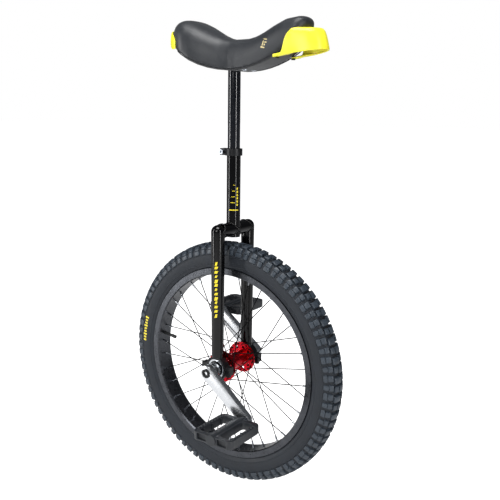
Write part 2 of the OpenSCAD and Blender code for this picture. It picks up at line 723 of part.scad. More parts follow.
// A bumper screw's hole with a flat seat for its head
screw_head_r = 4;
screw_head_h = 2.5;
module bumper_screw_holes() {
    at_bumper_screws() {
        cylinder(h = 30, r = 2.1, center = true);
        translate([0, 0, -4 * screw_head_h]) cylinder(h = 4 * screw_head_h, r = screw_head_r + 0.2);
    }
}
module saddle_pan() {
    color("#141517") difference() {
        intersection() {
            curved_plate(spine_rear - rear_len, spine_nose + nose_len, pan_up, pan_t, 3 * rear_w);
            translate([0, 0, low_point]) linear_extrude(150)
                polygon([for (p = outline) drawn_in(p, pan_in, 1)]);
        }
        at_bracket_bolts() {
            cylinder(h = 30, r = bolt_r, center = true);
            translate([0, 0, pan_t - 1.6]) cylinder(h = 10, r = 6.5);
        }
        at_bumper_screws() cylinder(h = 60, r = 2.1, center = true);
    }
}
module saddle_foam() {
    points = [for (a = ring_angles) each skin_ring(cover_t + foam_gap, a, pan_up + pan_t + soft_gap)];
    color("#5b5e63") polyhedron(points = points, faces = concat(
        flip(zip_up(0, outline_n)),
        [for (i = [0:ring_n - 2]) each wall_faces(i * outline_n, (i + 1) * outline_n, outline_n)],
        zip_up((ring_n - 1) * outline_n, outline_n)
    ));
}
module saddle_cover() {
    outer = [for (a = ring_angles) each skin_ring(0, a, 0)];
    inner = [for (a = ring_angles) each skin_ring(cover_t, a, 0)];
    shift = len(outer);
    color("#2a2d31") polyhedron(points = concat(outer, inner), faces = concat(
        [for (i = [0:ring_n - 2]) each wall_faces(i * outline_n, (i + 1) * outline_n, outline_n)],
        zip_up((ring_n - 1) * outline_n, outline_n),
        flip([for (i = [0:ring_n - 2]) each
            wall_faces(shift + i * outline_n, shift + (i + 1) * outline_n, outline_n)]),
        flip(zip_up(shift + (ring_n - 1) * outline_n, outline_n)),
        flip(wall_faces(0, shift, outline_n))
    ));
}

// A bumper is a band swept along stations; each station is a closed section of m points
function band_faces(stations, m) = flip(concat(
    [for (k = [0:stations - 2]) each wall_faces(k * m, (k + 1) * m, m)],
    [for (i = [1:m - 2]) [0, i, i + 1]],
    flip([for (i = [1:m - 2]) let (e = (stations - 1) * m) [e, e + i, e + i + 1]])
));
// Front bumper: a hood round the nose whose front lip is the grab handle, with a foot
// under the pan along each side
hood_rear = 116;
hood_start = 137;
hood_bend = 148;
hood_reach = 64;
hood_high = low_point + 74;
hood_shelf = 29;
hood_foot = 15;
hood_slope = 0.135;
foot_t = 3;
hood_w = nose_w + bumper_gap + bumper_t;
hood_path = concat(
    [for (i = [0:6]) [hood_rear + (hood_bend - hood_rear) * i / 6, -90, hood_foot]],
    [for (i = [1:17]) [hood_bend, -90 + 10 * i, max(bumper_t + 0.6, hood_foot - 5 * min(i, 18 - i))]],
    [for (i = [0:6]) [hood_bend - (hood_bend - hood_rear) * i / 6, 90, hood_foot]]
);
function hood_low(x) = low_z(hood_rear) - flange_gap - foot_t + hood_slope * (x - hood_rear);
// Section of the hood as distances inwards from its outer face, with heights. Along the
// sides, where c is 0, it stands upright beside the seat; round the front it leans in.
function hood_section(low, high, t, c, shelf, foot) =
    let (e = t * (0.25 + 0.75 * c), g = t * (0.06 + 0.94 * c)) [
    [0, low], [0.5 * e, (low + high) / 2], [3 * e, high - 5 * t], [8 * e, high],
    [shelf + g, high + t], [shelf + g, high - (bumper_t - 1) * t],
    [bumper_t + 7 * g, high - bumper_t * t], [bumper_t + 2 * g, (low + high) / 2],
    [bumper_t, low + foot_t], [foot, low + foot_t], [foot, low]
];
module front_bumper() {
    points = [for (k = hood_path) each
        let (c = cos(k[1]), s = sin(k[1]),
             x = k[0] + hood_reach * c,
             low = hood_low(x),
             u = clamp01((x - hood_start) / 24),
             t = max(0.1, u),
             high = low + 5 + (hood_high - low - 5) * sqrt(1 - (1 - u) * (1 - u)),
             shelf = max(bumper_t, hood_shelf * pow(abs(c), 1.3)))
        [for (q = hood_section(low, high, t, c, shelf, k[2]))
            let (d = q[0] + 8 * c * t * (q[1] - low) / 40)
            [k[0] + (hood_reach - d) * c, s * (hood_w - d), q[1]]]];
    color("#ffe600") difference() {
        polyhedron(points = points, faces = band_faces(len(hood_path), 11));
        bumper_screw_holes();
    }
}
// Rear bumper: a crescent round the tail with a rounded face and a tongue under the pan
rear_half_angle = 72;
rear_steps = 24;
bumper_high = low_point + 84;
module rear_bumper() {
    points = [for (i = [0:rear_steps])
        let (a = 180 + rear_half_angle * (2 * i / rear_steps - 1),
             p = [spine_rear + rear_len * cos(a), rear_w * sin(a)],
             swell = pow(sin(180 * i / rear_steps), 0.5),
             low = low_z(p[0]) - flange_gap - foot_t,
             h = bumper_high - low,
             t = 1 + bumper_t * swell,
             tongue = 2 + 26 * swell)
        each [for (q = [[0, 0.5 * t, 0], [0.1, 0.9 * t, 0], [0.42, t, 0], [0.8, 0.75 * t, 0], [1, 0, 0],
                        [0.93, -0.4, 0], [0, -0.4, foot_t], [0, -tongue, foot_t], [0, -tongue, 0]])
            let (g = drawn_in(p, -q[1] - bumper_gap - 0.4, 1), drop = low_z(g[0]) - low_z(p[0]))
            [g[0], g[1], low + q[0] * h + q[2] + (q[1] < -1 ? drop : 0)]]];
    color("#ffe600") difference() {
        polyhedron(points = points, faces = band_faces(rear_steps + 1, 9));
        bumper_screw_holes();
    }
}
module bumper_screws() {
    color("#8d9197") at_bumper_screws() {
        cylinder(h = foot_t + pan_up + pan_t - 1, r = 2);
        translate([0, 0, -screw_head_h]) cylinder(h = screw_head_h, r = screw_head_r);
    }
}

seat_tube();
crown_tube();
leg_right();
leg_left();
bearing_saddle_right();
bearing_saddle_left();
bearing_cap_right();
bearing_cap_left();
cap_bolts();
bearing_outer_races();
bearing_seals();
seat_clamp();
clamp_bolt();
clamp_nut();
tyre();
inner_tube();
rim_tape();
rim();
valve_stem();
valve_cap();
spokes_right();
spokes_left();
spoke_nipples();
hub_shell();
spindle();
bearing_spacers();
bearing_inner_races();
bearing_balls();
crank_right();
crank_left();
crank_bolts();
pedal_axle_right();
pedal_axle_left();
pedal_axle_nuts();
pedal_body_right();
pedal_body_left();
pedal_bushes_right();
pedal_bushes_left();
pedal_cap_right();
pedal_cap_left();
seatpost();
saddle_bracket();
bracket_bolts();
bracket_nuts();
saddle_pan();
saddle_foam();
saddle_cover();
front_bumper();
rear_bumper();
bumper_screws();
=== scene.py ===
import math
import bmesh
import bpy
from mathutils import Matrix, Vector
from mathutils.bvhtree import BVHTree


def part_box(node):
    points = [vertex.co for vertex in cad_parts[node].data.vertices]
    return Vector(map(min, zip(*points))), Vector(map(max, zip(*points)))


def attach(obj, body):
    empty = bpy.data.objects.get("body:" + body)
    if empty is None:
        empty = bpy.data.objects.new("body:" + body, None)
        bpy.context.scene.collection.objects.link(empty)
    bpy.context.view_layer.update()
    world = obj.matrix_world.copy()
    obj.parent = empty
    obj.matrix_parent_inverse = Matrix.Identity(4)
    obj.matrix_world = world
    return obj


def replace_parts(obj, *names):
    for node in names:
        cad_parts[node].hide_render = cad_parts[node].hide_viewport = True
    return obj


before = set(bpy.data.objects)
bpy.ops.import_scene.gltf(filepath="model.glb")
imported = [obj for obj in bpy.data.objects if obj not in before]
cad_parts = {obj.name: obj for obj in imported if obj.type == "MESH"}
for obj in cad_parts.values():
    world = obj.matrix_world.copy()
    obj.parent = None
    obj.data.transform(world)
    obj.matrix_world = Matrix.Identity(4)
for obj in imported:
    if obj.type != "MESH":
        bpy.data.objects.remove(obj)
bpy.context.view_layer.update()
MM = 0.001


# ---- Camera ----
# A plain 51 mm lens a little over a metre off the riding line, slightly below the saddle,
# looking back and down at the hub with a hair of roll.
def placed(name, data):
    thing = bpy.data.objects.new(name, data)
    bpy.context.scene.collection.objects.link(thing)
    return thing


turned, tipped, rolled = 0.607, 0.1976, 0.01216
across = Vector((math.cos(turned), math.sin(turned), 0))
back = Vector((math.sin(turned) * math.cos(tipped), -math.cos(turned) * math.cos(tipped),
               math.sin(tipped)))
upward = back.cross(across)
across_rolled = across * math.cos(rolled) + upward * math.sin(rolled)
upward_rolled = upward * math.cos(rolled) - across * math.sin(rolled)
tyre_low, tyre_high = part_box("tyre")
axle = Vector((0, 0, (tyre_low.z + tyre_high.z) / 2))
eye = axle + Vector((0.86377, -1.18137, 0.53969))
lens = bpy.data.cameras.new("camera")
lens.lens = 50.97
lens.sensor_width = 36
camera = placed("camera", lens)
camera.matrix_world = Matrix((
    (across_rolled.x, upward_rolled.x, back.x, eye.x),
    (across_rolled.y, upward_rolled.y, back.y, eye.y),
    (across_rolled.z, upward_rolled.z, back.z, eye.z),
    (0, 0, 0, 1)))
bpy.context.scene.camera = camera


# ---- Gloss black frame: seat tube, crown and legs ----
# Steel tubes, welded and then powder coated. The coat is thick and glossy, so it shows a
# slight orange peel and clear reflections.
def linear(hexed):
    parts = [int(hexed[i:i + 2], 16) / 255 for i in (1, 3, 5)]
    return [p / 12.92 if p <= 0.04045 else ((p + 0.055) / 1.055) ** 2.4 for p in parts] + [1]


def add(tree, kind, settings=None, sockets=None, links=None):
    node = tree.nodes.new("ShaderNode" + kind)
    for name, value in (settings or {}).items():
        setattr(node, name, value)
    for name, value in (sockets or {}).items():
        node.inputs[name].default_value = value
    for name, source in (links or {}).items():
        tree.links.new(source, node.inputs[name])
    return node


def new_finish(name, colour, roughness, **sockets):
    finish = bpy.data.materials.new(name)
    finish.use_nodes = True
    tree = finish.node_tree
    shader = tree.nodes["Principled BSDF"]
    shader.inputs["Base Color"].default_value = linear(colour)
    shader.inputs["Roughness"].default_value = roughness
    for socket, value in sockets.items():
        shader.inputs[socket.replace("_", " ")].default_value = value
    return finish, tree, shader, add(tree, "TexCoord").outputs["Object"]


# A fine unevenness with a pitch of size_mm.
def grain(tree, shader, place, size_mm, depth_mm, detail=2.0):
    noise = add(tree, "TexNoise", None, {"Scale": 1000 / size_mm, "Detail": detail},
                {"Vector": place})
    bump = add(tree, "Bump", None, {"Strength": 1, "Distance": depth_mm * MM},
               {"Height": noise.outputs["Fac"]})
    tree.links.new(bump.outputs["Normal"], shader.inputs["Normal"])


# Patches of size_mm that drift between two near colours, and from smoother to rougher.
def cloud(tree, shader, place, size_mm, dark, light, rough_low, rough_high, stretch=(1, 1, 1)):
    stretched = add(tree, "Mapping", None, {"Scale": stretch}, {"Vector": place})
    noise = add(tree, "TexNoise", None, {"Scale": 1000 / size_mm, "Detail": 4},
                {"Vector": stretched.outputs["Vector"]})
    shade = add(tree, "Mix", {"data_type": "RGBA"}, {6: linear(dark), 7: linear(light)},
                {0: noise.outputs["Fac"]})
    tree.links.new(shade.outputs[2], shader.inputs["Base Color"])
    rough = add(tree, "MapRange", None, {"From Min": 0.3, "From Max": 0.7, "To Min": rough_low,
                                         "To Max": rough_high}, {"Value": noise.outputs["Fac"]})
    tree.links.new(rough.outputs["Result"], shader.inputs["Roughness"])


# Gives a finish to the metal and plastic solids named.
def coat(finish, *nodes):
    for node in nodes:
        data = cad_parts[node].data
        data.materials.clear()
        data.materials.append(finish)


# The orange peel has a pitch of about 3 mm. It is kept very shallow, at about a micrometre, so
# that the reflections waver without breaking up.
powder_coat, tree, shader, place = new_finish(
    "gloss_powder_coat", "#030304", 0.12, Specular_IOR_Level=0.28, Coat_Weight=0.12,
    Coat_Roughness=0.04)
grain(tree, shader, place, 3.2, 0.0012)
cloud(tree, shader, place, 60, "#020203", "#050506", 0.09, 0.14)
coat(powder_coat, "seat_tube", "crown_tube", "leg_right", "leg_left")


# ---- Weld beads ----
# Each joint of the crown is closed by a fillet of weld, a ring of overlapping puddles. It was
# welded before the powder coat went on, so it shares the coat's gloss.
def keep(name, bm, finish, body, sharp_over=40):
    bmesh.ops.recalc_face_normals(bm, faces=bm.faces)
    mesh = bpy.data.meshes.new(name)
    bm.to_mesh(mesh)
    bm.free()
    mesh.materials.append(finish)
    mesh.shade_smooth()
    mesh.set_sharp_from_angle(angle=math.radians(sharp_over))
    piece = placed(name, mesh)
    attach(piece, body)
    return piece


crown_low, crown_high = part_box("crown_tube")
leg_low, leg_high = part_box("leg_left")
crown_z = (crown_low.z + crown_high.z) / 2
tube_r = (crown_high.z - crown_low.z) / 2
leg_y = (leg_low.y + leg_high.y) / 2
puddles = 46
puddle_r = 1.9 * MM
puddle_lift = 0.2 * MM
beads = bmesh.new()
for i in range(puddles):
    t = 2 * math.pi * i / puddles
    x, side = tube_r * math.cos(t), tube_r * math.sin(t)
    rise = abs(side)
    spots = [(x, side, crown_z + rise + puddle_lift), (x, side, crown_z - rise - puddle_lift)]
    for hand in (-1, 1):
        spots.append((x, hand * (leg_y - rise - puddle_lift), crown_z + side))
    for spot in spots:
        bmesh.ops.create_icosphere(beads, subdivisions=2, radius=puddle_r,
                                   matrix=Matrix.Translation(spot))
keep("weld_beads", beads, powder_coat, "frame")

# ---- Bearing holders and seat clamp ----
# Machined steel blocks and collar, bolted together round the bearings and the post. They are
# blasted and then blackened in a hot oxide bath, which leaves a satin, slightly uneven black.
# The seals, the saddle's bracket and the small black screws are near enough to share it.
satin_black, tree, shader, place = new_finish("satin_black_oxide", "#101114", 0.38,
                                              Metallic=0.35)
grain(tree, shader, place, 0.9, 0.01)
cloud(tree, shader, place, 14, "#0c0d0f", "#17181b", 0.32, 0.46)
coat(satin_black, "bearing_saddle_right", "bearing_saddle_left", "bearing_cap_right",
     "bearing_cap_left", "seat_clamp", "saddle_bracket", "bearing_seals", "crank_bolts",
     "cap_bolts", "bumper_screws")

# ---- Bright screws, nuts and the spindle ----
# Cold-headed and turned steel, with threads rolled on. A thin zinc plate makes it bright, with
# a faint bluish cloud a few millimetres across.
zinc, tree, shader, place = new_finish("bright_zinc_steel", "#b9bec6", 0.28, Metallic=1)
cloud(tree, shader, place, 5, "#a4a9b1", "#ccd1d8", 0.2, 0.36)
coat(zinc, "clamp_bolt", "clamp_nut", "bracket_bolts", "bracket_nuts", "pedal_axle_nuts",
     "spindle")

# ---- Bearings ----
# Rings and balls of hardened steel, ground and then polished, pressed into the holders. The
# grinding leaves fine lines round the rings, which draw their highlights out. The plated
# spoke nipples are as bright, and share the finish.
ground_steel, tree, shader, place = new_finish("ground_bearing_steel", "#c4c7cb", 0.15,
                                               Metallic=1)
cloud(tree, shader, place, 1.2, "#b4b8bd", "#d4d7db", 0.1, 0.24, (1, 12, 1))
coat(ground_steel, "bearing_outer_races", "bearing_inner_races", "bearing_balls",
     "spoke_nipples")

# ---- Rim ----
# An extruded aluminium section, rolled to a hoop and anodised black. It is etched first, which
# leaves a fine grain that softens its reflections.
black_anodised, tree, shader, place = new_finish("black_anodised_aluminium", "#4a4c50", 0.3,
                                                 Metallic=0.9)
cloud(tree, shader, place, 9, "#3d3f43", "#585a5f", 0.24, 0.36)
grain(tree, shader, place, 0.8, 0.012)
coat(black_anodised, "rim")

# ---- Spokes ----
# Drawn stainless wire, bent at the hub and laced across three others to the rim. The black
# coating on it is thin and gives only a slight shine.
black_wire, tree, shader, place = new_finish("black_coated_wire", "#020203", 0.55,
                                              Specular_IOR_Level=0.12)
cloud(tree, shader, place, 6, "#020203", "#050506", 0.5, 0.62)
coat(black_wire, "spokes_right", "spokes_left")

# ---- Hub ----
# A shell with two flanges and its spacers, turned from aluminium bar. The anodised layer is
# dyed red and clear, so the metal shines through it.
red_anodised, tree, shader, place = new_finish("red_anodised_aluminium", "#c20d1d", 0.24,
                                               Metallic=0.9)
cloud(tree, shader, place, 8, "#a80a18", "#d3162a", 0.18, 0.3)
grain(tree, shader, place, 0.6, 0.006)
coat(red_anodised, "hub_shell", "bearing_spacers")

# ---- Hidden rubber and tape inside the wheel, and the valve ----
# An extruded butyl tube lies inside the tyre, on a tape that covers the spoke heads. Its valve
# passes through the rim. Bare rubber, matt, with a bloom that greys it in small patches.
butyl, tree, shader, place = new_finish("butyl_rubber", "#17181a", 0.62)
cloud(tree, shader, place, 3, "#131416", "#1d1e20", 0.55, 0.7)
grain(tree, shader, place, 0.7, 0.02)
coat(butyl, "inner_tube", "rim_tape", "valve_stem", "valve_cap")

# ---- Tyre casing ----
# Blue-grey rubber over a fabric casing. The sidewall is smooth between two moulded ribs and
# meets the rim at a dark bead line.
tyre_r = (tyre_high.z - tyre_low.z) / 2
tread_half = (tyre_high.y - tyre_low.y) / 2
tread_rise = 24.5 * MM
knob_side, knob_top = 2.6 * MM, 6 * MM
flank_r = tyre_r - tread_rise
squareness = 2 / 2.4


# A place on the tread: t goes from the shoulder, 0, to the middle, and height from the casing,
# 0, to the knobs' tops, 1.
def tread_spot(turn, t, side, height):
    wide = tread_half - (1 - height) * knob_side
    high = tread_rise - (1 - height) * knob_top
    r = flank_r + high * math.sin(t) ** squareness
    return Vector((r * math.cos(turn), side * wide * math.cos(t) ** squareness,
                   r * math.sin(turn)))


# How far the sidewall lies below the tyre's top, and how far out from its middle, in mm.
flank = [(-55.5, 18.6), (-53.6, 19.6), (-52.8, 20.9), (-51.2, 21.6), (-48.5, 22.8),
         (-45.6, 23.8), (-45.2, 24.4), (-44.2, 24.5), (-43.8, 24.1), (-39.5, 25.1),
         (-34.5, 25.8), (-30, 26), (-27.2, 25.9), (-26.8, 26.4), (-25.8, 26.4), (-25.3, 25.8)]
half = [(tyre_r + r * MM, y * MM) for r, y in flank]
crown_steps = 12
for step in range(1, crown_steps):
    spot = tread_spot(0, math.radians(90 * step / crown_steps), 1, 0)
    half.append((spot.x, spot.y))
whole = half + [(tread_spot(0, math.pi / 2, 1, 0).x, 0)] + [(r, -y) for r, y in reversed(half)]
casing = bmesh.new()
ring = [casing.verts.new((r, y, 0)) for r, y in whole]
loop = [casing.edges.new((ring[i], ring[(i + 1) % len(ring)])) for i in range(len(ring))]
bmesh.ops.spin(casing, geom=ring + loop, cent=(0, 0, 0), axis=(0, 1, 0), angle=2 * math.pi,
               steps=176, use_merge=True, dvec=(0, 0, 0), use_duplicate=False)
bmesh.ops.remove_doubles(casing, verts=casing.verts, dist=1e-6)
bmesh.ops.translate(casing, verts=casing.verts, vec=axle)

# Tyre rubber: matt, with a bloom that clouds it in patches of a few centimetres, and a fine grain
# from the mould. Knobs and casing are one rubber painted as two copies: the knobs' copy lighter
# and bluer, as painted light on the raised blocks, and the casing's copy darker, as painted shade
# in the grooves between the knobs and along the sidewall.
knob_rubber_painted_light, tree, shader, place = new_finish("tyre_rubber_painted_light", "#30343a", 0.5,
                                               Specular_IOR_Level=0.45)
cloud(tree, shader, place, 28, "#2b3138", "#3f4852", 0.36, 0.48)
grain(tree, shader, place, 1.1, 0.02, 4.0)
# The casing's copy is painted darker than the knobs', as painted shade in the grooves and on the
# sidewall.
casing_rubber_painted_shade, tree, shader, place = new_finish("casing_rubber_painted_shade", "#24272b", 0.6,
                                                Specular_IOR_Level=0.3)
cloud(tree, shader, place, 28, "#1d2025", "#2b3037", 0.46, 0.6)
grain(tree, shader, place, 1.1, 0.02, 4.0)
tyre_casing = keep("tyre_casing", casing, casing_rubber_painted_shade, "wheel", 50)
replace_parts(tyre_casing, "tyre")

# ---- Tyre knobs ----
# Blocks moulded in one with the casing, in rows across the tread: two in the middle, split off
# centre to alternate sides, and two down each shoulder. Their corners are slightly rounded.
rows = 84
pitch = 2 * math.pi / rows
block = bmesh.new()
bmesh.ops.create_cube(block, size=1)
long_edges = [e for e in block.edges
              if abs((e.verts[0].co - e.verts[1].co).y) > 0.5]
bmesh.ops.subdivide_edges(block, edges=long_edges, cuts=3, use_grid_fill=True)


# The cosine of the bend between the two faces at an edge.
def bend(edge):
    return edge.link_faces[0].normal.dot(edge.link_faces[1].normal)


worn = [e for e in block.edges
        if sum(1 for f in e.link_faces if f.normal.z > 0.9) == 1
        or (len(e.link_faces) == 2 and abs(bend(e)) < 0.1
            and abs(e.verts[0].co.z - e.verts[1].co.z) > 0.5)]
bmesh.ops.bevel(block, geom=worn, offset=0.07, segments=1, profile=0.5, affect="EDGES",
                material=-1)
block_mesh = bpy.data.meshes.new("block")
block.to_mesh(block_mesh)
block.free()
knobs = bmesh.new()


# Lays a block on the tread at an angle round the wheel, length rows long, and narrower at its
# top than at its foot. spot_of gives t and the side for a share of its width.
def add_knob(turn, length, spot_of):
    start = len(knobs.verts)
    knobs.from_mesh(block_mesh)
    knobs.verts.ensure_lookup_table()
    for vert in knobs.verts[start:]:
        height = vert.co.z + 0.5
        along = vert.co.x * length * pitch * (1.12 - 0.24 * height)
        t, side = spot_of(vert.co.y + 0.5)
        vert.co = tread_spot(turn + along, t, side, height * 1.03 - 0.03) + axle


# A middle block spans two distances from the tyre's middle line, in mm, left and right of it.
def middle(from_y, to_y):
    half_width = 27

    def spot(share):
        y = from_y + (to_y - from_y) * share
        return math.acos((abs(y) / half_width) ** 1.2), math.copysign(1, y)
    return spot


# A shoulder block spans two angles of t on one side.
def shoulder(side, from_t, to_t):
    return lambda share: (math.radians(from_t + (to_t - from_t) * share), side)


for row in range(rows):
    turn = row * pitch
    hand = 1 if row % 2 else -1
    add_knob(turn, 0.66, middle(-15.5 * hand, 2.4 * hand))
    add_knob(turn + 0.1 * pitch, 0.62, middle(6 * hand, 15.5 * hand))
    for side in (-1, 1):
        add_knob(turn + 0.3 * pitch, 0.62, shoulder(side, 50, 28 if side == hand else 23))
        add_knob(turn + 0.3 * pitch, 0.5 if side == hand else 0.74,
                 shoulder(side, 25 if side == hand else 20, 1))
tyre_knobs = keep("tyre_knobs", knobs, knob_rubber_painted_light, "wheel", 30)

# ---- Sidewall marks ----
# Short yellow bars, hot printed on the near sidewall and almost flush with it. They are plain,
# without any lettering.
bright_print, tree, shader, place = new_finish("yellow_print", "#f2dc1c", 0.4)
cloud(tree, shader, place, 2.5, "#e8cf12", "#f7e53a", 0.34, 0.5)
marks = bmesh.new()
mark_count, first_mark, mark_step = 9, 164, 1.7
mark_wide, mark_thick, mark_sunk = 4 * MM, 0.5 * MM, 1.05 * MM
mark_r = tyre_r - 31.5 * MM
for i in range(mark_count):
    turn = math.radians(first_mark + i * mark_step)
    tall = 6.5 * MM if i % 3 else 9 * MM
    spot = axle + Vector((mark_r * math.cos(turn), -tread_half + mark_sunk,
                          mark_r * math.sin(turn)))
    bmesh.ops.create_cube(
        marks, size=1, matrix=Matrix.Translation(spot) @ Matrix.Rotation(-turn, 4, "Y")
        @ Matrix.Diagonal((tall, mark_thick, mark_wide, 1)))
keep("sidewall_marks", marks, bright_print, "wheel")


# ---- Printed bars on the leg and the seat tube ----
# Thin yellow transfers, slid wet onto the powder coat and pressed round the tubes. They are
# plain slanted bars, without any lettering.
print_lift, print_thick = 0.12 * MM, 0.1 * MM
to_camera = turned - math.pi / 2


# Each bar is its lowest and highest z, then its turn, width and slant in mm round the tube.
def wrapped_bars(name, centre, radius_at, bars):
    print_sheet = bmesh.new()
    for low, high, turn, wide, slant in bars:
        made = bmesh.ops.create_grid(print_sheet, x_segments=8, y_segments=4, size=0.5)
        for vert in made["verts"]:
            u, v = vert.co.x, vert.co.y + 0.5
            z = low + (high - low) * v
            r = radius_at(z) + print_lift
            angle = to_camera + (turn + u * wide + slant * (v - 0.5)) * MM / r
            vert.co = Vector((centre.x + r * math.cos(angle), centre.y + r * math.sin(angle), z))
    bmesh.ops.solidify(print_sheet, geom=print_sheet.faces, thickness=print_thick)
    keep(name, print_sheet, bright_print, "frame")


# The legs widen from the bearing holders up to the crown.
def leg_radius(z):
    foot_z, foot_r = 21 * MM, 12.5 * MM
    share = (z - axle.z - foot_z) / (crown_z - axle.z - foot_z)
    return foot_r + (tube_r - foot_r) * share


leg_bars = []
for i in range(13):
    foot = crown_z - 60 * MM - i * 9.2 * MM
    leg_bars.append((foot - (5.6 if i % 4 else 7.6) * MM, foot, -3, 6.5 if i % 3 else 4.5, 2))
wrapped_bars("leg_marks", Vector((0, -leg_y, 0)), leg_radius, leg_bars)
tube_bars = [(crown_z + 40 * MM, crown_z + 42.2 * MM, 1, 20, 0)]
for i in range(6):
    foot = crown_z + 50 * MM + i * 6.6 * MM
    tube_bars.append((foot, foot + 4.4 * MM, 8.5, 3.4, 0))
for i in range(4):
    foot = crown_z + 56 * MM + i * 12 * MM
    tube_bars.append((foot, foot + 1.2 * MM, -1.5 + i, 9 - 1.5 * i, 0))
wrapped_bars("seat_tube_marks", Vector((0, 0, 0)), lambda z: tube_r, tube_bars)

# ---- Cranks ----
# Forged aluminium arms that taper from the spindle boss to the pedal eye, with broken edges.
# The brushing runs along the arm, and its scratches are drawn coarser than they are, at
# 0.7 mm, so that they show.
brushed_alloy, tree, shader, place = new_finish("brushed_aluminium", "#dcdee1", 0.24, Metallic=1)
crank_fall = math.radians(39)
brushed_place = add(tree, "Mapping", {"vector_type": "POINT"},
                    {"Rotation": (0, crank_fall, 0)}, {"Vector": place})
brushed_place = add(tree, "Mapping", None, {"Scale": (0.03, 1, 1)},
                    {"Vector": brushed_place.outputs["Vector"]})
scratches = add(tree, "TexNoise", None, {"Scale": 1400, "Detail": 3},
                {"Vector": brushed_place.outputs["Vector"]})
scratch_rough = add(tree, "MapRange", None, {"From Min": 0.3, "From Max": 0.7, "To Min": 0.17,
                                             "To Max": 0.36}, {"Value": scratches.outputs["Fac"]})
tree.links.new(scratch_rough.outputs["Result"], shader.inputs["Roughness"])
scratch_bump = add(tree, "Bump", None, {"Strength": 0.5, "Distance": 0.02 * MM},
                   {"Height": scratches.outputs["Fac"]})
tree.links.new(scratch_bump.outputs["Normal"], shader.inputs["Normal"])

crank_low, crank_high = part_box("crank_left")
crank_in, crank_out = crank_low.y, crank_high.y
pedal_low, pedal_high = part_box("pedal_body_right")
pedal_spot = Vector(((pedal_low.x + pedal_high.x) / 2, 0, (pedal_low.z + pedal_high.z) / 2))
arm_length = (pedal_spot - axle).length
boss_r, eye_r, arm_thick, arm_edge = 16 * MM, 12.5 * MM, 14 * MM, 1.5 * MM


# From a space with +X along the crank and +Z outwards, to the right (-1) or left (1) side.
def onto_side(hand):
    down = pedal_spot - axle
    along = Vector((down.x, 0, down.z)).normalized() * (-hand)
    out = Vector((0, hand, 0))
    third = out.cross(along)
    return Matrix(((along.x, third.x, out.x, axle.x), (along.y, third.y, out.y, axle.y),
                   (along.z, third.z, out.z, axle.z), (0, 0, 0, 1)))


for hand, word in ((-1, "right"), (1, "left")):
    arm = bmesh.new()
    for x, r in ((0, boss_r), (arm_length, eye_r)):
        bmesh.ops.create_cone(arm, cap_ends=True, segments=64, radius1=r, radius2=r,
                              depth=arm_thick,
                              matrix=Matrix.Translation((x, 0, crank_out - arm_thick / 2)))
    hull = bmesh.ops.convex_hull(arm, input=arm.verts)
    inside = list(dict.fromkeys(hull["geom_interior"] + hull["geom_unused"]))
    bmesh.ops.delete(arm, geom=inside, context="VERTS")
    loose = [f for f in arm.faces if f.calc_center_median().z > crank_out - arm_thick + 1e-5
             and f.calc_center_median().z < crank_out - 1e-5 and abs(f.normal.z) > 0.5]
    bmesh.ops.delete(arm, geom=loose, context="FACES")
    bmesh.ops.dissolve_limit(arm, angle_limit=0.01, verts=arm.verts, edges=arm.edges)
    edges = [e for e in arm.edges if len(e.link_faces) == 2
             and abs(e.link_faces[0].normal.z - e.link_faces[1].normal.z) > 0.5]
    bmesh.ops.bevel(arm, geom=edges, offset=arm_edge, segments=2, profile=0.5, affect="EDGES",
                    material=-1)
    bmesh.ops.create_cone(
        arm, cap_ends=True, segments=64, radius1=boss_r - arm_edge, radius2=boss_r,
        depth=crank_out - arm_thick - crank_in,
        matrix=Matrix.Translation((0, 0, (crank_out - arm_thick + crank_in) / 2)))
    bmesh.ops.transform(arm, matrix=onto_side(hand), verts=arm.verts)
    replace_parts(keep("crank_arm_" + word, arm, brushed_alloy, "wheel", 25),
                "crank_" + word)

# ---- Crank bolts ----
# Steel socket bolts, cold-headed with a hexagon in a broad washer face and blackened in the
# same bath as the holders. Each draws its crank up the spindle's taper.
head_r, head_half, head_sides = 10 * MM, 1.2 * MM, 48
for hand, word in ((-1, "right"), (1, "left")):
    head = bmesh.new()
    bmesh.ops.create_cone(head, cap_ends=True, segments=head_sides, radius1=head_r,
                          radius2=head_r, depth=2 * head_half,
                          matrix=Matrix.Translation((0, 0, crank_out)))
    top = max(head.faces, key=lambda f: f.calc_center_median().z)
    bmesh.ops.inset_region(head, faces=[top], thickness=2.6 * MM)
    bmesh.ops.translate(head, verts=top.verts, vec=(0, 0, 0.8 * MM))
    bmesh.ops.inset_region(head, faces=[top], thickness=0.6 * MM)
    bmesh.ops.delete(head, geom=[top], context="FACES")
    for radius, depth in ((6.8, 0.8), (4.4, 0.6), (3.9, -3.5)):
        sides = head_sides if radius > 5 else 6
        spot = (0, 0, crank_out + head_half + depth * MM)
        bmesh.ops.create_circle(head, cap_ends=depth < 0, segments=sides, radius=radius * MM,
                                matrix=Matrix.Translation(spot))
    # the socket's hexagon joins its floor below and the ring of the washer face above
    border = [e for e in head.edges if e.is_boundary or e.is_wire]
    floor_edges = list(dict.fromkeys(
        e for f in head.faces if len(f.verts) == 6 for e in f.edges))
    outer = [e for e in border if e not in floor_edges]
    levels = {}
    for e in outer:
        levels.setdefault(round(max(v.co.xy.length for v in e.verts) / MM, 1), []).append(e)
    sizes = sorted(levels)
    hexagon = levels[sizes[0]]
    bmesh.ops.bridge_loops(head, edges=hexagon + floor_edges)
    bmesh.ops.bridge_loops(head, edges=hexagon + levels[sizes[1]])
    bmesh.ops.transform(head, matrix=onto_side(hand), verts=head.verts)
    bolt = keep("crank_bolt_" + word, head, satin_black, "wheel", 25)
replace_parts(bolt, "crank_bolts")

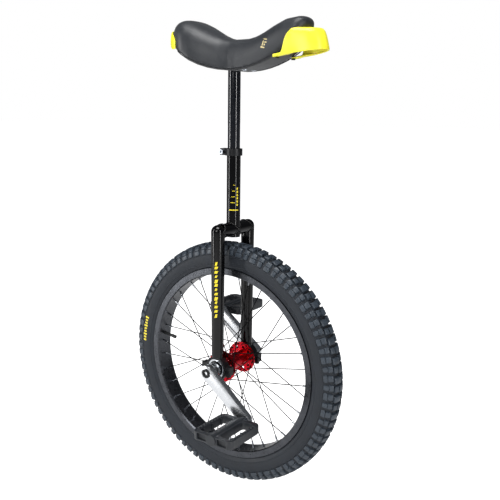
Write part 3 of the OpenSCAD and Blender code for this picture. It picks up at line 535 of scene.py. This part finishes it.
# ---- Pedals ----
# Each is one moulding in fibre-filled nylon: a frame with rounded corners, two windows, slots
# in its ends, rows of teeth on its rails and a barrel for the axle. The mould leaves a fine
# satin grain, about half a millimetre across.
nylon, tree, shader, place = new_finish("moulded_nylon", "#1d2024", 0.4)
cloud(tree, shader, place, 16, "#1a1c20", "#282c31", 0.34, 0.48)
grain(tree, shader, place, 0.6, 0.025)
coat(nylon, "pedal_cap_right", "pedal_cap_left")
pedal_half_x = (pedal_high.x - pedal_low.x) / 2
pedal_half_y = (pedal_high.y - pedal_low.y) / 2
pedal_half_z = (pedal_high.z - pedal_low.z) / 2
pedal_middle_y = (pedal_low.y + pedal_high.y) / 2
rail, end_wall, barrel_half = 9 * MM, 11 * MM, 11 * MM
tooth_sink, teeth_a_side, tooth_step, tooth_tall = 1.05 * MM, 9, 8.4 * MM, 2 * MM


# Whether an edge runs through the moulding's height.
def upright(edge):
    return abs(edge.verts[0].co.z - edge.verts[1].co.z) > MM


for hand, word in ((1, "right"), (-1, "left")):
    body = bmesh.new()
    cuts_x = [-pedal_half_x, -pedal_half_x + rail, -barrel_half, barrel_half,
              pedal_half_x - rail, pedal_half_x]
    cuts_y = [-pedal_half_y, -pedal_half_y + end_wall, pedal_half_y - end_wall, pedal_half_y]
    bmesh.ops.create_grid(body, x_segments=5, y_segments=3, size=0.5)
    for vert in body.verts:
        vert.co = Vector((cuts_x[round((vert.co.x + 0.5) * 5)],
                          cuts_y[round((vert.co.y + 0.5) * 3)], -pedal_half_z + 2 * MM))
    windows = [f for f in body.faces if abs(f.calc_center_median().y) < 1e-4
               and barrel_half < abs(f.calc_center_median().x) < pedal_half_x - rail]
    bmesh.ops.delete(body, geom=windows, context="FACES")
    raised = bmesh.ops.extrude_face_region(body, geom=list(body.faces))
    bmesh.ops.translate(body, vec=(0, 0, 2 * pedal_half_z - 4 * MM),
                        verts=[v for v in raised["geom"] if isinstance(v, bmesh.types.BMVert)])
    bmesh.ops.recalc_face_normals(body, faces=body.faces)
    corners = [e for e in body.edges if upright(e)
               and abs(abs(e.verts[0].co.x) - pedal_half_x) < 1e-5
               and abs(abs(e.verts[0].co.y) - pedal_half_y) < 1e-5]
    bmesh.ops.bevel(body, geom=corners, offset=15 * MM, segments=3, profile=0.5, affect="EDGES",
                    material=-1)
    inner = [e for e in body.edges if upright(e)
             and abs(abs(e.verts[0].co.y) - pedal_half_y + end_wall) < 1e-5
             and barrel_half - 1e-5 < abs(e.verts[0].co.x) < pedal_half_x - rail + 1e-5
             and len(e.link_faces) == 2 and abs(bend(e)) < 0.5]
    bmesh.ops.bevel(body, geom=inner, offset=5 * MM, segments=3, profile=0.5, affect="EDGES",
                    material=-1)
    ends = [f for f in body.faces if abs(f.normal.y) > 0.9
            and abs(abs(f.calc_center_median().y) - pedal_half_y) < 1e-4
            and abs(f.calc_center_median().x) > barrel_half]
    bmesh.ops.inset_individual(body, faces=ends, thickness=3.2 * MM)
    for face in ends:
        inward = Vector((0, -math.copysign(6 * MM, face.calc_center_median().y), 0))
        pocket = bmesh.ops.extrude_discrete_faces(body, faces=[face])["faces"]
        bmesh.ops.translate(body, verts=pocket[0].verts, vec=inward)
    sharp = [e for e in body.edges if len(e.link_faces) == 2 and bend(e) < 0.35]
    bmesh.ops.bevel(body, geom=sharp, offset=1.1 * MM, segments=2, profile=0.5, affect="EDGES",
                    material=-1)
    # the barrel round the axle, with a boss towards the crank
    bmesh.ops.create_cone(body, cap_ends=True, segments=40, radius1=pedal_half_z,
                          radius2=pedal_half_z, depth=2 * pedal_half_y - 3 * MM,
                          matrix=Matrix.Rotation(math.pi / 2, 4, "X"))
    bmesh.ops.create_cone(body, cap_ends=True, segments=40, radius1=9.6 * MM, radius2=10 * MM,
                          depth=5 * MM, matrix=Matrix.Translation((0, pedal_half_y + 1.5 * MM, 0))
                          @ Matrix.Rotation(-math.pi / 2, 4, "X"))
    # teeth along both rails, above and below
    for x in (pedal_half_x - rail / 2, rail / 2 - pedal_half_x):
        for i in range(teeth_a_side):
            y = (i - (teeth_a_side - 1) / 2) * tooth_step
            for up in (-1, 1):
                bmesh.ops.create_cone(
                    body, cap_ends=True, segments=4, radius1=3.9 * MM, radius2=2.4 * MM,
                    depth=tooth_tall,
                    matrix=Matrix.Translation((x, y, up * (pedal_half_z - tooth_sink)))
                    @ Matrix.Rotation(0 if up > 0 else math.pi, 4, "X")
                    @ Matrix.Rotation(math.pi / 4, 4, "Z"))
    # ribs across each window's outer side, as in a grating
    for x in (-1, 1):
        for y in (-0.5, 0, 0.5):
            bmesh.ops.create_cube(
                body, size=1, matrix=Matrix.Translation(
                    (x * (pedal_half_x - rail - 2.2 * MM), y * 56 * MM, 0))
                @ Matrix.Diagonal((5 * MM, 2.4 * MM, 2 * pedal_half_z - 8 * MM, 1)))
    spot = Vector((pedal_spot.x * hand, pedal_middle_y * hand,
                   axle.z + (pedal_spot.z - axle.z) * hand))
    if hand < 0:
        bmesh.ops.rotate(body, verts=body.verts, cent=(0, 0, 0),
                         matrix=Matrix.Rotation(math.pi, 3, "Z"))
    bmesh.ops.translate(body, verts=body.verts, vec=spot)
    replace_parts(keep("pedal_moulding_" + word, body, nylon, "pedal_" + word, 35),
                "pedal_body_" + word)

# ---- Pedal axles and bushes ----
# Steel axles with a wrench collar, turned and blackened, run in bushes turned from acetal rod.
# The acetal is coloured right through and has a soft, slightly translucent look.
black_axle, tree, shader, place = new_finish("blackened_steel", "#3a3e44", 0.34, Metallic=0.8)
cloud(tree, shader, place, 7, "#30343a", "#4a4f56", 0.28, 0.42)
coat(black_axle, "pedal_axle_right", "pedal_axle_left")
acetal, tree, shader, place = new_finish("acetal", "#cfc9b6", 0.4, Subsurface_Weight=0.1)
cloud(tree, shader, place, 6, "#c4beaa", "#d8d2c0", 0.34, 0.46)
coat(acetal, "pedal_bushes_right", "pedal_bushes_left")

# ---- Seatpost ----
# A drawn steel tube that slides in the seat tube, welded to the saddle's bracket on top. Its
# black enamel is stoved hard and smooth, with clear, narrow highlights.
post_enamel, tree, shader, place = new_finish("stove_enamel", "#07090c", 0.12, Coat_Weight=0.3,
                                              Coat_Roughness=0.04)
cloud(tree, shader, place, 40, "#090b0e", "#10131a", 0.1, 0.16)
coat(post_enamel, "seatpost")

# ---- Saddle base ----
# A stiff pan moulded in glass-filled plastic, which the bracket's bolts pass through. The
# mould was spark eroded, so the pan is dull with a fine grit of about a millimetre.
pan_plastic, tree, shader, place = new_finish("glass_filled_plastic", "#08080a", 0.5)
cloud(tree, shader, place, 12, "#060607", "#0c0c0e", 0.44, 0.58)
grain(tree, shader, place, 0.9, 0.04)
coat(pan_plastic, "saddle_pan")

# ---- Saddle cover over its foam ----
# A moulded foam seat with a stretched vinyl cover that wraps over the pan's edge. The skin is
# tight, satin and nearly smooth, with a fine leather-like grain.
stretch_vinyl, tree, shader, place = new_finish("stretch_vinyl", "#33373e", 0.42,
                                                Sheen_Weight=0.12, Sheen_Roughness=0.4)
cloud(tree, shader, place, 45, "#1b1e22", "#24272c", 0.38, 0.5)
leather = add(tree, "TexVoronoi", {"feature": "DISTANCE_TO_EDGE"}, {"Scale": 1000 / 1.4},
              {"Vector": place})
leather_bump = add(tree, "Bump", None, {"Strength": 0.35, "Distance": 0.03 * MM},
                   {"Height": leather.outputs["Distance"]})
tree.links.new(leather_bump.outputs["Normal"], shader.inputs["Normal"])
skin = bmesh.new()
skin.from_mesh(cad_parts["saddle_cover"].data)
bmesh.ops.remove_doubles(skin, verts=skin.verts, dist=0.02 * MM)
bmesh.ops.recalc_face_normals(skin, faces=skin.faces)
cover_low, cover_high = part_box("saddle_cover")
spine_from, spine_to = cover_low.x + 50 * MM, cover_high.x - 46 * MM
lining = []
for face in skin.faces:
    spot = face.calc_center_median()
    beside = [v.co.z for v in skin.verts if abs(v.co.x - spot.x) < 14 * MM]
    spine = Vector((min(spine_to, max(spine_from, spot.x)), 0, (min(beside) + max(beside)) / 2))
    under = abs(face.normal.z) > 0.8 and spot.z < spine.z
    if under or face.normal.dot(spot - spine) < 0:
        lining.append(face)
bmesh.ops.delete(skin, geom=lining, context="FACES")
# the hem is the longest loop of open edges, walked in the mesh's own order
open_edges = [e for e in skin.edges if e.is_boundary]
hem = []
while open_edges:
    edge = open_edges.pop(0)
    walked = [edge.verts[0]]
    vert = edge.verts[1]
    while vert is not walked[0]:
        walked.append(vert)
        edge = next(e for e in vert.link_edges if e in open_edges)
        open_edges.remove(edge)
        vert = edge.other_vert(vert)
    hem = max(hem, walked, key=len)
hem_path = [v.co.copy() for v in hem]
bmesh.ops.contextual_create(skin, geom=[e for e in skin.edges if e.is_boundary])
bmesh.ops.triangulate(skin, faces=[f for f in skin.faces if len(f.verts) > 4])
saddle_cushion = keep("saddle_cushion", skin, stretch_vinyl, "saddle", 180)


# Applies the piece's modifiers, so that none of them is left on it.
def settled(piece):
    depsgraph = bpy.context.evaluated_depsgraph_get()
    mesh = bpy.data.meshes.new_from_object(piece.evaluated_get(depsgraph))
    piece.modifiers.clear()
    piece.data = mesh
    mesh.shade_smooth()


remesh = saddle_cushion.modifiers.new("remesh", "REMESH")
remesh.mode = "VOXEL"
remesh.voxel_size = 4 * MM
remesh.use_smooth_shade = True
relax = saddle_cushion.modifiers.new("relax", "SMOOTH")
relax.factor, relax.iterations = 0.5, 3
settled(saddle_cushion)
# The air under the vinyl rounds it out, by at most 2 mm. Its hem is stapled to the pan.
start = [v.co.copy() for v in saddle_cushion.data.vertices]
held = saddle_cushion.vertex_groups.new(name="stapled")
held.add([i for i, co in enumerate(start)
          if co.z < 12 * MM + min(hem_path, key=lambda p: abs(p.x - co.x)).z], 1.0, "REPLACE")
pull = saddle_cushion.modifiers.new("pull", "CLOTH")
pull.settings.vertex_group_mass = "stapled"
pull.settings.use_pressure = True
pull.settings.uniform_pressure_force = 4
pull.settings.effector_weights.gravity = 0
pull.settings.tension_stiffness = pull.settings.compression_stiffness = 40
most = 2 * MM
for step in range(1, 21):
    bpy.context.scene.frame_set(step)
settled(saddle_cushion)
bpy.context.scene.frame_set(1)
for vert, origin in zip(saddle_cushion.data.vertices, start):
    move = vert.co - origin
    vert.co = origin + move * min(1.0, most / max(move.length, 1e-9))
smooth = saddle_cushion.modifiers.new("smooth", "SUBSURF")
smooth.levels = smooth.render_levels = 1
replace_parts(saddle_cushion, "saddle_cover", "saddle_foam")

# ---- Saddle piping ----
# A welt of darker vinyl over a cord, 2.4 mm round, sewn into the cover's lower edge. It is
# smooth and a little duller than the cover.
welt = bpy.data.curves.new("welt", "CURVE")
welt.dimensions = "3D"
welt_r = 1.2 * MM
welt.bevel_depth = welt_r
welt.bevel_resolution = 2
line = welt.splines.new("POLY")
line.points.add(len(hem_path) - 1)
for point, co in zip(line.points, hem_path):
    point.co = (co.x, co.y, co.z + welt_r, 1)
line.use_cyclic_u = True
welt_vinyl, tree, shader, place = new_finish("welt_vinyl", "#141518", 0.5)
cloud(tree, shader, place, 8, "#101114", "#1a1b1f", 0.44, 0.56)
welt.materials.append(welt_vinyl)
piping = placed("saddle_piping", welt)
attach(piping, "saddle")

# ---- Saddle badge ----
# Pale gold foil, pressed hot into the vinyl beside the nose. Five short slanted bars make it,
# and none of them is a letter.
gold_foil, tree, shader, place = new_finish("gold_foil", "#b9a878", 0.35, Metallic=0.6)
cloud(tree, shader, place, 3, "#a89868", "#cfc092", 0.3, 0.42)
surface = BVHTree.FromObject(saddle_cushion, bpy.context.evaluated_depsgraph_get())
foil = bmesh.new()
# each bar's left and lower edge, width and height in mm
badge_bars = [(0, 0, 9, 2.2), (1.5, 4, 2.2, 9), (6, 4.5, 2.2, 3.4), (5.6, 10, 5, 2),
              (1.2, 15, 8.4, 2.2)]
for left, low, wide, tall in badge_bars:
    made = bmesh.ops.create_grid(foil, x_segments=4, y_segments=4, size=0.5)
    for vert in made["verts"]:
        u = left + (vert.co.x + 0.5) * wide
        v = low + (vert.co.y + 0.5) * tall
        x, z = 86 * MM + (u + 0.25 * v) * MM, 917 * MM + (v - 0.2 * u) * MM
        hit = surface.ray_cast(Vector((x, -0.2, z)), Vector((0, 1, 0)))[0]
        vert.co = hit + Vector((0, -0.25 * MM, 0))
keep("saddle_badge", foil, gold_foil, "saddle")


# ---- Front bumper and grab handle ----
# One glossy yellow injection moulding that wraps the nose. Its front lip stands off
# the seat as a handle, and a flange under each side takes a screw.
def moulded_wall(piece, thickness):
    wall = piece.modifiers.new("wall", "SOLIDIFY")
    wall.thickness = thickness
    wall.offset = -1
    smooth = piece.modifiers.new("smooth", "SUBSURF")
    smooth.levels = smooth.render_levels = 2


yellow_plastic, tree, shader, place = new_finish(
    "yellow_polypropylene", "#fff01e", 0.3, Subsurface_Weight=0.15, Subsurface_Scale=0.004)
cloud(tree, shader, place, 30, "#fff01c", "#fff650", 0.26, 0.38)
grain(tree, shader, place, 1.2, 0.015)
hood_low, hood_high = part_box("front_bumper")
hood_wide = hood_high.y
bend_x, reach = 148 * MM, hood_high.x - 148 * MM
stations, steps = 52, 11
straight = 8
hood = bmesh.new()
bmesh.ops.create_grid(hood, x_segments=stations, y_segments=steps, size=0.5)
for vert in hood.verts:
    i = round((vert.co.x + 0.5) * stations)
    j = round((vert.co.y + 0.5) * steps)
    from_end = min(i, stations - i)
    if from_end < straight:
        turn = -math.pi / 2 if i < stations / 2 else math.pi / 2
        start_x = hood_low.x + (bend_x - hood_low.x) * from_end / straight
    else:
        turn = math.pi * ((i - straight) / (stations - 2 * straight) - 0.5)
        start_x = bend_x
    c, s = math.cos(turn), math.sin(turn)
    x = start_x + reach * c
    low = hood_low.z + 0.135 * (x - hood_low.x)
    rising = min(1, max(0, (x - 137 * MM) / (24 * MM)))
    t = max(0.02, rising)
    high = low + 5 * MM + (hood_high.z - MM - low - 5 * MM) * math.sqrt(1 - (1 - rising) ** 2)
    shelf = max(4, 31 * c) * MM
    foot = max(4.6, 15 - 5 * max(0, from_end - straight)) * MM
    tall = high - low
    section = [(foot, 0), (foot * 0.5, 0), (0.6 * MM, 0), (0, 1.5 * MM),
               (0.3 * t * MM, tall * 0.3), (0.8 * t * MM, tall * 0.55),
               (1.8 * t * MM, tall * 0.75), (3.4 * t * MM, tall - 4.6 * t * MM),
               (5.6 * t * MM, tall - 1.6 * t * MM), (8.5 * t * MM, tall),
               ((shelf + 10 * t * MM) * 0.55, tall + 0.7 * t * MM),
               (shelf + 3 * t * MM, tall + t * MM)]
    inward, rise = section[j]
    inward += 8 * c * t * rise / 40
    vert.co = Vector((start_x + (reach - inward) * c, s * (hood_wide - inward), low + rise))
front_bumper = keep("grab_handle_bumper", hood, yellow_plastic, "saddle", 180)
moulded_wall(front_bumper, 3.5 * MM)
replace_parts(front_bumper, "front_bumper")

# ---- Rear bumper ----
# A crescent screwed over the tail, thickest at its middle, in the same glossy yellow
# polypropylene as the front one.
tail_low, tail_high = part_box("rear_bumper")
tail_x = -88 * MM
tail_reach = tail_x - tail_low.x - 4.9 * MM
tail_wide = 62 * MM
stations = 30
# how high up its wall and how far out each line of the crescent lies
pad_lines = [(0, 0.3), (0.05, 0.75), (0.2, 0.95), (0.42, 1), (0.62, 0.93), (0.8, 0.76),
             (0.93, 0.45), (1, 0.05)]
steps = len(pad_lines) - 1
pad = bmesh.new()
bmesh.ops.create_grid(pad, x_segments=stations, y_segments=steps, size=0.5)
for vert in pad.verts:
    u = vert.co.x + 0.5
    j = round((vert.co.y + 0.5) * steps)
    turn = math.pi + math.radians(72) * (2 * u - 1)
    swell = max(0.0, math.sin(math.pi * u)) ** 0.5
    share, out = pad_lines[j]
    out = 0.9 * MM + out * (0.6 + 4 * swell) * MM
    spine = Vector((tail_x, 0, 0))
    edge = Vector((tail_reach * math.cos(turn), tail_wide * math.sin(turn), 0))
    far = abs(edge.x) / tail_reach
    low = tail_low.z + (tail_high.z - tail_low.z) * 0.06 + 20 * MM * max(0, far - 0.55)
    vert.co = spine + edge * ((edge.length + out) / edge.length)
    vert.co.z = low + share * (tail_high.z - 0.5 * MM - low) * (0.35 + 0.65 * swell)
rear_bumper = keep("tail_bumper", pad, yellow_plastic, "saddle", 180)
moulded_wall(rear_bumper, 2.4 * MM)
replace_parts(rear_bumper, "rear_bumper")

# ---- Studio ----
# A white floor and surround, two upright strip lights for the long reflections on the tubes,
# and a soft box overhead and one in front. Both whites are plain to the eye, and lend the
# object only a faint light.
floor = bmesh.new()
bmesh.ops.create_grid(floor, x_segments=1, y_segments=1, size=30)
floor_mesh = bpy.data.meshes.new("floor")
floor.to_mesh(floor_mesh)
floor.free()
floor_sheet = placed("floor", floor_mesh)
matt_white, tree, shader, place = new_finish("matt_white_paper", "#f4f4f4", 0.9)
cloud(tree, shader, place, 400, "#f2f2f2", "#f6f6f6", 0.85, 0.95)
shader.inputs["Emission Color"].default_value = linear("#ffffff")
seen = add(tree, "LightPath").outputs["Is Camera Ray"]
glow = add(tree, "MapRange", None, {"To Min": 0.12, "To Max": 1}, {"Value": seen})
tree.links.new(glow.outputs["Result"], shader.inputs["Emission Strength"])
floor_mesh.materials.append(matt_white)
surround = bpy.data.worlds.new("surround")
surround.use_nodes = True
bpy.context.scene.world = surround
tree = surround.node_tree
glow = tree.nodes["Background"]
glow.inputs["Strength"].default_value = 1
seen = add(tree, "LightPath").outputs["Is Camera Ray"]
sky = add(tree, "Mix", {"data_type": "RGBA"}, {6: (0.075, 0.078, 0.085, 1), 7: (1, 1, 1, 1)},
          {0: seen})
tree.links.new(sky.outputs[2], glow.inputs["Color"])
for name, spot, aim, wide, tall, power in (
        ("left_strip", (-1.7, -1.6, 0.75), (0, 0, 0.5), 0.16, 2.4, 34),
        ("right_strip", (2.3, -0.6, 0.8), (0, 0, 0.5), 0.14, 2.4, 24),
        ("top_box", (0.2, -0.5, 2.6), (0, 0, 0.5), 1.3, 1.3, 44),
        ("front_fill", (0.5, -2.6, 1.6), (0, 0, 0.4), 1.2, 1.2, 24)):
    light = bpy.data.lights.new(name, "AREA")
    light.shape = "RECTANGLE"
    light.size, light.size_y, light.energy = wide, tall, power
    lamp = placed(name, light)
    lamp.location = spot
    lamp.rotation_euler = (Vector(aim) - Vector(spot)).to_track_quat("-Z", "Y").to_euler()
bpy.context.scene.view_settings.view_transform = "Standard"
